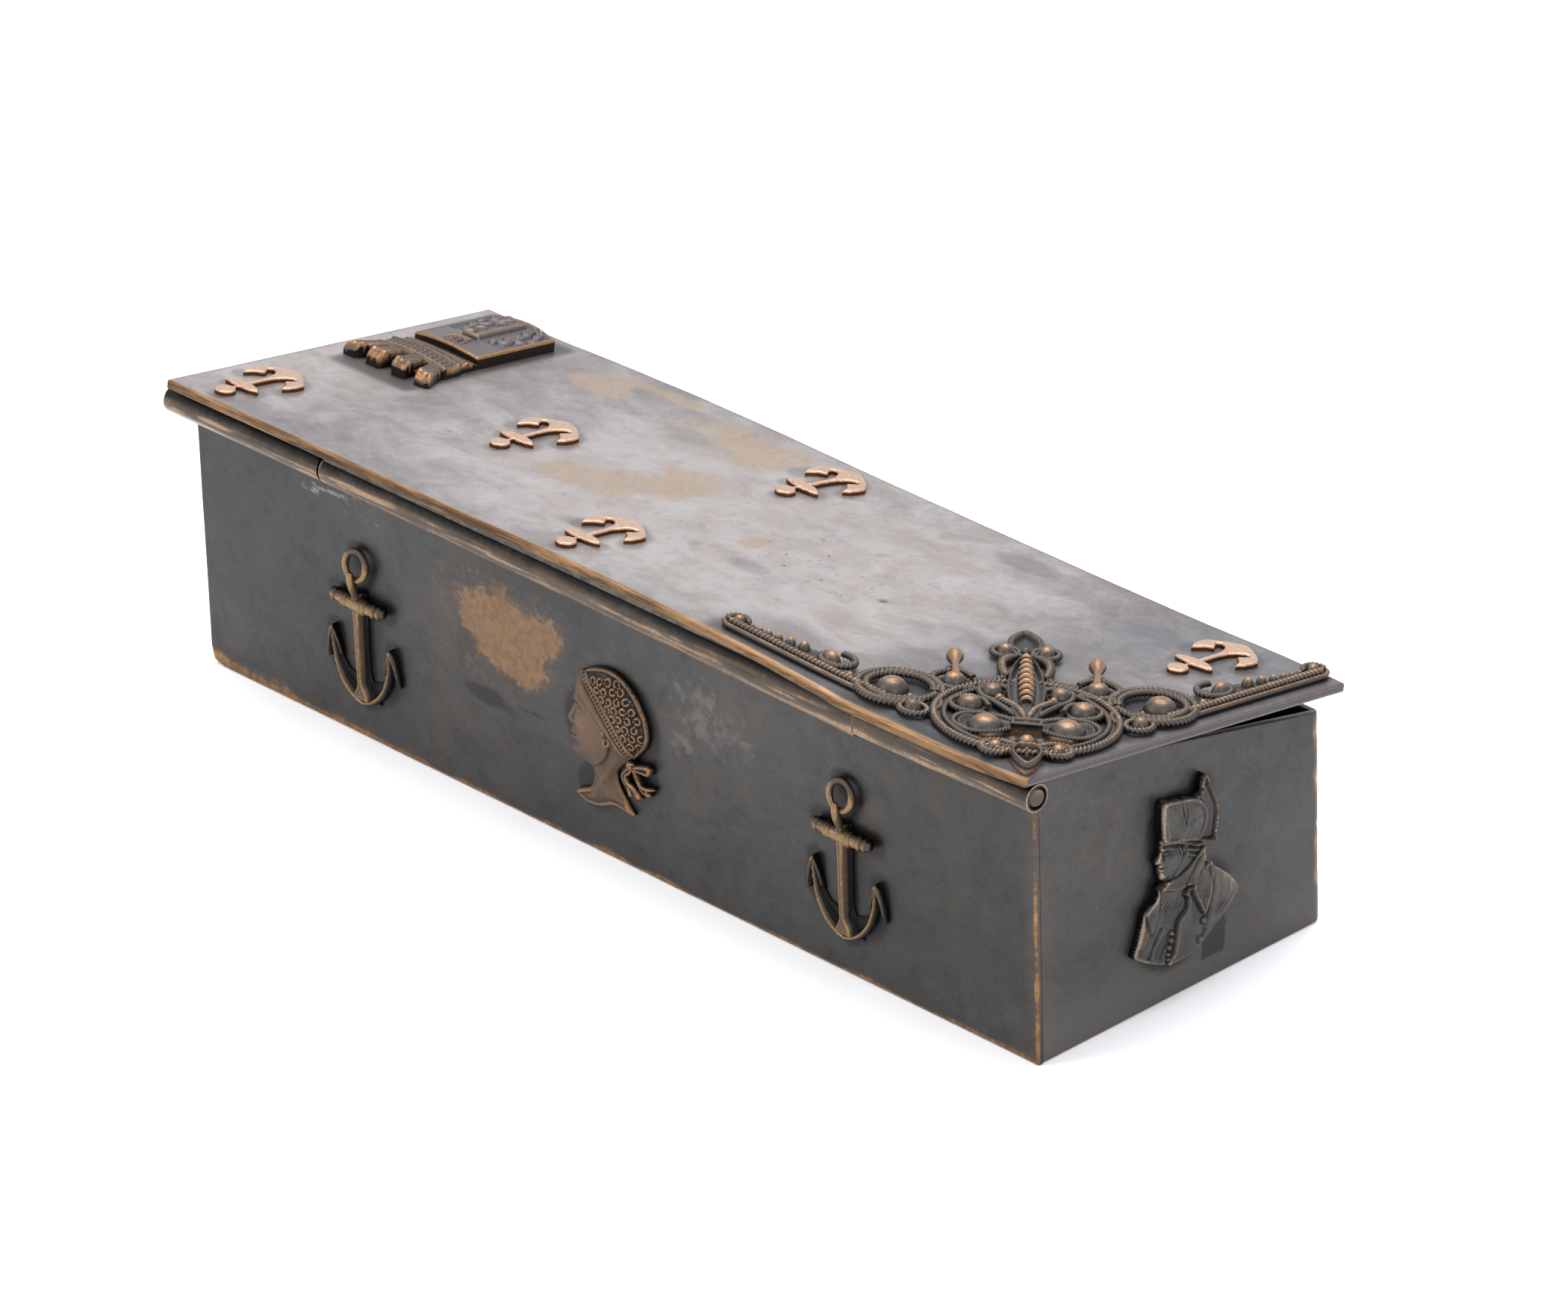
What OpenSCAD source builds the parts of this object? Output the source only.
// Small sheet-metal ditty box with a sloping hinged lid.
// Frame: +Z up, X along the box, the hinge side is +Y, the opening side is -Y.
// Origin: centre of the underside of the case. The lid is drawn slightly ajar.

/* [Case] */
// Length of the case along X
case_l = 146.7; // [130:0.1:165]
// Width of the case from the opening side to the hinge side
case_w = 47.6; // [40:0.1:60]
// Thickness of the sheet used for the walls
wall_t = 0.9; // [0.7:0.05:1.2]
// Thickness of the floor sheet
floor_t = 0.9; // [0.7:0.05:1.2]
// Outside radius of the two bent front corners
bend_r = 1.3; // [1.2:0.1:2.5]
// Leg of the solder fillets inside the case
fillet = 0.7; // [0.4:0.1:1]

/* [Lid] */
// Length of the lid along the hinge
lid_l = 150; // [140:0.1:165]
// Length of the lid along its front edge
lid_front_l = 149.2; // [140:0.1:165]
// Width of the lid from its rear edge to its front edge
lid_w = 52.9; // [50:0.1:56]
// Thickness of the lid sheet
lid_t = 1.2; // [1:0.05:1.6]
// How far the lid stands past the left end wall
lid_over = 2.95; // [1:0.05:4]
// Slope of the lid as drawn, in degrees below level
ajar_slope = 8.86; // [6:0.01:12]
// Slope of the lid when it is shut, in degrees below level
shut_slope = 12.65; // [12:0.01:13]

/* [Hinge] */
// Outside radius of the hinge tube
knuckle_r = 1.8; // [1.7:0.05:2]
// Gap between the tube and the sheet beside it
hinge_gap = 0.3; // [0.2:0.05:0.4]
// Height of the hinge axis above the table
hinge_z = 37.1; // [36.5:0.05:37.5]
// Radius of the hinge pin
pin_r = 0.9; // [0.8:0.05:1]
// Radial clearance of the pin in the lid's knuckle
pin_clear = 0.05; // [0.03:0.01:0.1]
// X of the tube's left end
tube_x0 = -76.2; // [-77:0.1:-74]
// X of the tube's right end
tube_x1 = 74.9; // [73:0.1:77]
// X of the joint between the left knuckle and the long middle one
joint_x0 = -47.9; // [-60:0.1:-40]
// X of the joint between the long middle knuckle and the right one
joint_x1 = 46.1; // [40:0.1:60]

/* [Ornaments] */
// Thickness of the flat sheet anchors on the lid
flat_anchor_t = 0.7; // [0.5:0.05:1]
// Height of the two cast anchors on the back wall
cast_anchor_h = 18.2; // [16:0.1:19]
// Thickness of the shield of the badge
shield_t = 2; // [1.5:0.1:2.5]
// Length of each arm of the corner ornament
arm_l = 51.5; // [50:0.1:51.5]
// Thickness of the corner ornament's openwork
open_t = 0.8; // [0.6:0.05:1]
// Height of the dome of the two portrait reliefs
relief_h = 1.7; // [1.2:0.05:2]

/* [Hidden] */
$fn = 48;
hinge_y = case_w/2 + hinge_gap + knuckle_r;     // hinge axis
under_r = knuckle_r + hinge_gap;                // lid underside above the axis
rear = 2.3;                                     // lid's rear edge past the axis
seat = 0.08;                                    // play between shut lid and walls
// height of the walls' sloping top at a given y
function top_z(y) = hinge_z + under_r/cos(shut_slope) - (hinge_y - y)*tan(shut_slope) - seat;
lid_x0 = -case_l/2 - lid_over;
copper = [0.66, 0.46, 0.30];
dark = [0.30, 0.29, 0.28];
pale = [0.85, 0.64, 0.50];

// ---------------------------------------------------------------- helpers
// space of the lid: origin on the hinge axis, +Y past the rear edge, +Z out of the lid
module on_lid() translate([0, hinge_y, hinge_z]) rotate([ajar_slope, 0, 0]) children();
// top face of the lid: y counts from the rear edge towards the front, as negative
module on_top(x, v) on_lid() translate([x, rear - v, under_r + lid_t]) children();
// outside of the back wall: +X runs to the left end, +Y up, +Z away from the wall
module on_back(x, z) translate([x, case_w/2, z]) rotate([90, 0, 180]) children();
// outside of the left end wall: +X runs to the front, +Y up, +Z away from the wall
module on_left_end(y, z) translate([-case_l/2, y, z]) rotate([90, 0, -90]) children();
// wedge under the walls' sloping top
module under_slope(y0, y1, x0, x1)
    translate([x0, 0, 0]) rotate([90, 0, 90]) linear_extrude(x1 - x0)
        polygon([[y0, 0], [y1, 0], [y1, top_z(y1)], [y0, top_z(y0)]]);
// half ball of radius r standing on z = 0
module dome(r) rotate_extrude($fn = 32) intersection() { circle(r, $fn = 32); square([r, r]); }

// ---------------------------------------------------------------- case
module floor_plate() color(dark) {
    x = case_l/2 - wall_t; y = case_w/2 - wall_t; ri = bend_r - wall_t;
    translate([-x + ri, -y, 0]) cube([2*(x - ri), 2*y, floor_t]);
    translate([-x, -y + ri, 0]) cube([2*x, 2*y - ri, floor_t]);
    // its two front corners follow the bent strip
    for (s = [-1, 1]) translate([s*(x - ri), -y + ri, 0]) cylinder(h = floor_t, r = ri);
}

module back_wall() color(dark)
    under_slope(case_w/2 - wall_t, case_w/2, -case_l/2, case_l/2);

// one strip bent round the two front corners
module front_and_ends() color(dark) {
    ri = bend_r - wall_t;
    difference() {
        intersection() {
            under_slope(-case_w/2, case_w/2 - wall_t, -case_l/2, case_l/2);
            union() {
                translate([-case_l/2 + bend_r, -case_w/2, 0]) cube([case_l - 2*bend_r, case_w - wall_t, 60]);
                translate([-case_l/2, -case_w/2 + bend_r, 0]) cube([case_l, case_w - wall_t - bend_r, 60]);
                for (s = [-1, 1]) translate([s*(case_l/2 - bend_r), -case_w/2 + bend_r, 0]) cylinder(h = 60, r = bend_r);
            }
        }
        union() {
            translate([-case_l/2 + bend_r, -case_w/2 + wall_t, -1]) cube([case_l - 2*bend_r, case_w, 62]);
            translate([-case_l/2 + wall_t, -case_w/2 + bend_r, -1]) cube([case_l - 2*wall_t, case_w, 62]);
            for (s = [-1, 1]) translate([s*(case_l/2 - bend_r), -case_w/2 + bend_r, -1]) cylinder(h = 62, r = ri);
        }
    }
}

// solder run into the inside corners
module inner_solder() color([0.5, 0.5, 0.5]) {
    x = case_l/2 - wall_t; y = case_w/2 - wall_t; f = fillet;
    // up the two rear corners
    for (s = [-1, 1]) translate([0, 0, floor_t]) linear_extrude(top_z(y) - 1.5 - floor_t)
        polygon([[s*x, y], [s*(x - f), y], [s*x, y - f]]);
    // along the floor at the back and at the front
    translate([-x + f, 0, 0]) rotate([90, 0, 90]) linear_extrude(2*(x - f)) {
        polygon([[y, floor_t], [y - f, floor_t], [y, floor_t + f]]);
        polygon([[-y, floor_t], [-y + f, floor_t], [-y, floor_t + f]]);
    }
}

// ---------------------------------------------------------------- hinge
module tube(x0, x1, bore) translate([x0, hinge_y, hinge_z]) rotate([0, 90, 0])
    difference() {
        cylinder(h = x1 - x0, r = knuckle_r, $fn = 64);
        translate([0, 0, -1]) cylinder(h = x1 - x0 + 2, r = bore);
    }
module left_knuckle() color(copper) tube(tube_x0, joint_x0 - 0.1, pin_r);
module right_knuckle() color(copper) tube(joint_x1 + 0.1, tube_x1, pin_r);
module hinge_pin() color([0.4, 0.42, 0.36])
    translate([tube_x0 + 1, hinge_y, hinge_z]) rotate([0, 90, 0]) cylinder(h = tube_x1 - tube_x0 - 2, r = pin_r);

// solder that holds the end knuckles to the back wall
module case_hinge_solder() color([0.5, 0.5, 0.5])
    difference() {
        union() {
            translate([-case_l/2, case_w/2, hinge_z - 1.2]) cube([joint_x0 - 0.6 + case_l/2, 0.75, 2.3]);
            translate([joint_x1 + 0.6, case_w/2, hinge_z - 1.2]) cube([case_l/2 - joint_x1 - 0.6, 0.75, 2.3]);
        }
        translate([-100, hinge_y, hinge_z]) rotate([0, 90, 0]) cylinder(h = 200, r = knuckle_r, $fn = 64);
    }

module lid_knuckle() color(copper) tube(joint_x0 + 0.1, joint_x1 - 0.1, pin_r + pin_clear);

// solder between the lid and its knuckle
module lid_hinge_solder() color([0.5, 0.5, 0.5]) on_lid()
    difference() {
        translate([joint_x0 + 0.6, -1.15, 1.3]) cube([joint_x1 - joint_x0 - 1.2, 2.3, under_r - 1.3]);
        translate([-100, 0, 0]) rotate([0, 90, 0]) cylinder(h = 200, r = knuckle_r, $fn = 64);
    }

// ---------------------------------------------------------------- lid
module lid_plate() color([0.45, 0.45, 0.47]) on_lid()
    translate([0, 0, under_r]) linear_extrude(lid_t)
        polygon([[lid_x0, rear], [lid_x0 + lid_l, rear],
                 [lid_x0 + lid_front_l, rear - lid_w], [lid_x0, rear - lid_w]]);

// flat anchor sawn from sheet, eye at the top, origin at the middle of the eye
module flat_anchor() color(pale) {
    // eye, cut as a plain disc
    cylinder(h = flat_anchor_t, r = 1.33);
    // stock
    linear_extrude(flat_anchor_t)
        polygon([[-2.9, -2.6], [-1.5, -1.9], [1.5, -1.9], [2.9, -2.5], [2.2, -3.1], [0.5, -3.6], [-0.5, -3.6], [-2.2, -3.2]]);
    // shank, arms and flukes
    linear_extrude(flat_anchor_t)
        polygon([[-0.4, -0.7], [0.4, -0.7], [0.4, -6.5], [0.9, -8.2], [2.1, -9.1], [2.0, -7.9], [4.2, -5.9],
                 [4.3, -8.1], [3.3, -9.7], [0, -11.8], [-3.3, -9.7], [-4.3, -8.1], [-4.2, -5.9], [-2.0, -7.9],
                 [-2.1, -9.1], [-0.9, -8.2], [-0.4, -6.5]]);
}
module lid_anchor_rear_right() on_top(66.3, 3.0) flat_anchor();
module lid_anchor_rear_middle() on_top(4.7, 3.4) rotate([0, 0, 1]) flat_anchor();
module lid_anchor_middle_right() on_top(34.2, 19.6) flat_anchor();
module lid_anchor_front_middle() on_top(3.8, 38.8) rotate([0, 0, -5]) flat_anchor();
module lid_anchor_front_left() on_top(-62.9, 38.6) flat_anchor();

// ---------------------------------------------------------------- badge
// heraldic badge in two castings, drawn with +Y towards the hinge
shield_w = 11.8;
shield_l = 14;
module shield_badge() on_top(62.2, 35.9) color(dark) {
    linear_extrude(shield_t)
        polygon(concat([[-shield_w/2, 0], [shield_w/2, 0], [shield_w/2, -shield_l]],
            [for (a = [-30:7.5:30]) [-shield_w*sin(a), -shield_l - 1.0*(cos(a) - cos(30))/(1 - cos(30))]]));
    // pale down the middle with a small star over it
    translate([-0.6, -13.4, shield_t]) cube([1.2, 9, 0.4]);
    translate([-1.5, -4.6, shield_t]) cube([3, 0.8, 0.5]);
    translate([0, -2.6, shield_t]) cylinder(h = 0.4, r = 1.1);
}
// low crown of four battlements on a beaded band
module arch(w, h, l) {
    r = (w*w/4 + h*h)/(2*h);
    rotate([90, 0, 0]) linear_extrude(l) intersection() {
        translate([0, h - r]) circle(r, $fn = 96);
        translate([-w/2, 0]) square([w, h]);
    }
}
module crown_badge() on_top(62.1, 23.6) color(dark) {
    translate([0, -5.2, 0]) arch(12.6, 2.3, 3.4);
    translate([0, -8.6, 0]) arch(11.6, 1.5, 3.6);
    intersection() {
        translate([0, -1.7, 0]) arch(16.5, 2.2, 3.7);
        union() {
            for (x = [-6.6, -2.35, 2.35, 6.6])
                translate([x, -5.4, 0]) rotate([0, 0, -x*1.2]) translate([-1.45, 0, 0]) cube([2.9, 6.5, 4]);
            translate([-7, -5.4, 0]) cube([14, 3.4, 1.5]);
        }
    }
}

// ---------------------------------------------------------------- corner ornament
// drawn in the corner's own frame: +X along the hinge edge, +Y down the left edge
module ring2(r, w) difference() { circle(r, $fn = 96); circle(r - w, $fn = 96); }
// what lies on one side of the diagonal
module corner_half_2d() {
    // border strip and the stepped edge inside it
    translate([24.5, 0]) square([arm_l - 24.5, 1.8]);
    polygon([[29.5, 1.7], [48.5, 1.7], [47, 2.5], [40, 3.5], [36.5, 4.3], [32, 3.2]]);
    translate([49.6, 1.9]) circle(1.4);
    translate([35, 4.3]) ring2(2.3, 1);
    // volute
    translate([25.4, 4.1]) ring2(4.7, 1.7);
    translate([25.8, 3.6]) circle(2.2);
    // trumpet and its scroll
    translate([23.2, 11.4]) circle(2.2);
    polygon([[23.4, 10.6], [28.8, 15.6], [28.6, 17], [27.4, 17.2], [22.6, 12.4]]);
    translate([22.6, 9.3]) ring2(2.6, 1.4);
    // bead in an oval by the border
    translate([19.9, 1.2]) circle(1.9);
    // small bead beside the corner leaf
    translate([6.1, 0.9]) circle(1.5);
    polygon([[3, 2], [6, -0.4], [8, 0.4], [6, 3]]);
    // large dome by the collar, middle dome and inner dome, with their stalks
    translate([11.3, 4.6]) circle(2.5);
    translate([17.2, 7.9]) circle(2.3);
    translate([18.5, 12.8]) circle(2);
    polygon([[8.5, 8], [12, 4.8], [17.5, 8], [20.8, 6.6], [18.4, 12.4], [12, 8.6]]);
    // bead at the inner tip
    translate([26.3, 23.2]) circle(1.9);
    polygon([[22, 21], [26.4, 21.8], [26.4, 24.4], [23, 23.6]]);
}
module corner_half_domes() {
    for (p = [[49.6, 1.9, 1.1], [46.2, 1.9, 0.5], [44.9, 2.1, 0.55], [43.4, 2.4, 0.6], [41.8, 2.7, 0.7], [39.9, 3.1, 0.8],
              [35, 3.8, 1.2], [25.8, 3.6, 1.8], [23.2, 11.4, 1.4], [28, 16.2, 0.9], [19.9, 1.2, 1.4], [6.1, 0.9, 1.2],
              [11.3, 4.6, 1.9], [17.2, 7.9, 1.7], [18.5, 12.8, 1.5], [26.3, 23.2, 1.4]])
        translate([p[0], p[1], 0]) dome(p[2]);
}
module corner_2d() {
    corner_half_2d();
    mirror([1, -1]) corner_half_2d();
    // great ring, corner leaf, palmette and tip leaf on the diagonal
    translate([10.4, 10.4]) ring2(11.1, 1.9);
    polygon([[-0.6, -0.6], [3.6, 0.6], [4.4, 4.4], [0.6, 3.6]]);
    polygon([[8, 8], [14.6, 11.4], [22.4, 22.4], [11.4, 14.6]]);
    polygon([[21.5, 21.5], [27, 25], [29.2, 29.2], [25, 27]]);
    polygon([[3.6, 3.6], [6, 4], [9, 9], [4, 6]]);
}
module corner_filigree() color(copper)
    // its corner sits just inside the lid's left rear corner
    on_top(lid_x0 + 1.5, 1.5) mirror([0, 1, 0]) {
        linear_extrude(open_t) corner_2d();
        corner_half_domes();
        mirror([1, -1, 0]) corner_half_domes();
        for (t = [0:6]) translate([13.6 + 1.25*t, 13.6 + 1.25*t, 0]) dome(open_t + 0.55 - 0.03*t*t/2);
        translate([8.1, 8.1, 0]) rotate([0, 0, 45]) translate([-0.85, -1.5, 0]) cube([1.7, 3, 1.6]);
        translate([4.6, 4.6, 0]) dome(1.3);
    }

// ---------------------------------------------------------------- cast anchors of the back wall
module cast_anchor() color(copper) {
    k = cast_anchor_h/18.2;
    scale(k) {
        // shank, a ridge that widens to the crown
        intersection() {
            linear_extrude(2.1) polygon([[-0.9, 15.9], [0.9, 15.9], [1.2, 4.2], [2.6, 2.6], [0, 0], [-2.6, 2.6], [-1.2, 4.2]]);
            translate([0, 17, 0]) rotate([90, 0, 0]) linear_extrude(18)
                polygon([[-3, 0], [3, 0], [0.45, 2.1], [-0.45, 2.1]]);
        }
        // arms
        intersection() {
            translate([0, 9.6, 0]) difference() {
                cylinder(h = 1.6, r = 7.3, $fn = 96);
                translate([0, 1.4, -1]) cylinder(h = 4, r = 6.9, $fn = 96);
            }
            linear_extrude(3) polygon([[-8, 8.4], [-8, -3], [8, -3], [8, 8.4], [4.6, 8.4], [0, 3], [-4.6, 8.4]]);
        }
        // flukes
        for (s = [0, 1]) mirror([s, 0, 0]) linear_extrude(1.5)
            polygon([[5.4, 9.4], [7.0, 5.0], [6.0, 5.2], [5.9, 6.0], [5.2, 6.6], [3.9, 5.9]]);
        // stock with its hoops
        translate([0, 14, 1.05]) rotate([0, 90, 0]) {
            cylinder(h = 3.6, r = 0.95, center = true);
            for (s = [-1, 1]) translate([0, 0, s*3.2]) cylinder(h = 3.1, r = 0.78, center = true);
            for (s = [-4.3, -1.6, 1.6, 4.3]) translate([0, 0, s]) cylinder(h = 0.8, r = 1.02, center = true);
        }
        // eye and ring
        translate([0, 16.6, 0.6]) rotate([90, 0, 0]) cylinder(h = 2.6, r = 0.6, center = true);
        translate([0, 17.3, 1.9]) sphere(0.75);
        translate([0, 19.2, 1.7]) rotate([14, 14, 0]) rotate_extrude() translate([1.85, 0]) circle(0.5, $fn = 24);
    }
}
module back_anchor_left() on_back(-42.3, 5.1) cast_anchor();
module back_anchor_right() on_back(43.2, 5.1) cast_anchor();

// ---------------------------------------------------------------- portrait reliefs
// outline cut out of a shallow dome
module relief(h, r) intersection() {
    union() children();
    translate([0, 0, h - r]) sphere(r, $fn = 128);
}
module slab() linear_extrude(4) children();
module kerchief_head() on_back(-1.5, 16.6) color(copper) {
    relief(relief_h, 46) {
        // head under its cloth
        translate([1.3, 3.6, 0]) cylinder(h = 4, r = 6.0);
        // face, neck and the curved cut below it
        slab() polygon([[-3.6, 7.2], [-5.2, 5.2], [-6.2, 2.9], [-7.4, 0.6], [-6.6, 0], [-6.9, -1.4], [-6.3, -2.4], [-6.4, -3.6],
                 [-5.4, -4.6], [-3.3, -4.9], [-2.9, -6.6], [-4.2, -8.2], [-5.9, -9.1], [-3.4, -10], [-0.4, -9.5],
                 [1.6, -8.6], [4.1, -8.8], [2.2, -6.4], [1.4, -3], [4.6, -1]]);
    }
    // bow of the cloth at the nape
    linear_extrude(1.1)
        polygon([[4.3, -0.6], [5.3, -1.2], [7.6, -1.2], [6.2, -2.2], [7.9, -4.4], [6.4, -4.9], [5.1, -2.6], [5.0, -5.9], [3.6, -5.2], [2.6, -3.6], [3.9, -1.8]]);
}
module officer_bust() on_left_end(1.0, 16) color(dark)
    relief(relief_h + 0.1, 52) {
        // hat and its turned-up brim
        slab() polygon([[-3, 11], [-1, 10.6], [2, 10], [3.6, 8.8], [4.2, 7], [3.9, 5.2], [3, 4], [1.4, 4.4], [-2, 5.6], [-3.1, 6.2]]);
        slab() polygon([[3.4, 9.6], [3.9, 12], [4.6, 11.8], [6.1, 7.8], [5.9, 4.6], [5.4, 3], [2.6, 3.6], [3.0, 6]]);
        // head and collar
        slab() polygon([[-3, 6.4], [-3.3, 4.8], [-4.1, 3.5], [-3.6, 3], [-3.7, 1.8], [-3.1, 0.6], [-3.6, 0], [1.5, -1.4], [3.4, 1.6], [3, 4.4], [1, 5]]);
        // coat
        slab() polygon([[-3.6, 0.2], [-4.5, -1.6], [-6, -2.4], [-7, -5], [-7.9, -7.6], [-5.5, -9.3], [-3.6, -10.2], [-1.7, -10.6],
                 [0.4, -10.5], [2.2, -10.1], [5.6, -8], [8.4, -5.8], [9, -4.6], [8, -2.8], [5.4, -0.4], [3.5, 1.6], [0, 0.6]]);
    }

floor_plate();
back_wall();
front_and_ends();
inner_solder();
left_knuckle();
right_knuckle();
hinge_pin();
case_hinge_solder();
back_anchor_left();
back_anchor_right();
kerchief_head();
officer_bust();
lid_plate();
lid_knuckle();
lid_hinge_solder();
corner_filigree();
crown_badge();
shield_badge();
lid_anchor_rear_right();
lid_anchor_rear_middle();
lid_anchor_middle_right();
lid_anchor_front_middle();
lid_anchor_front_left();
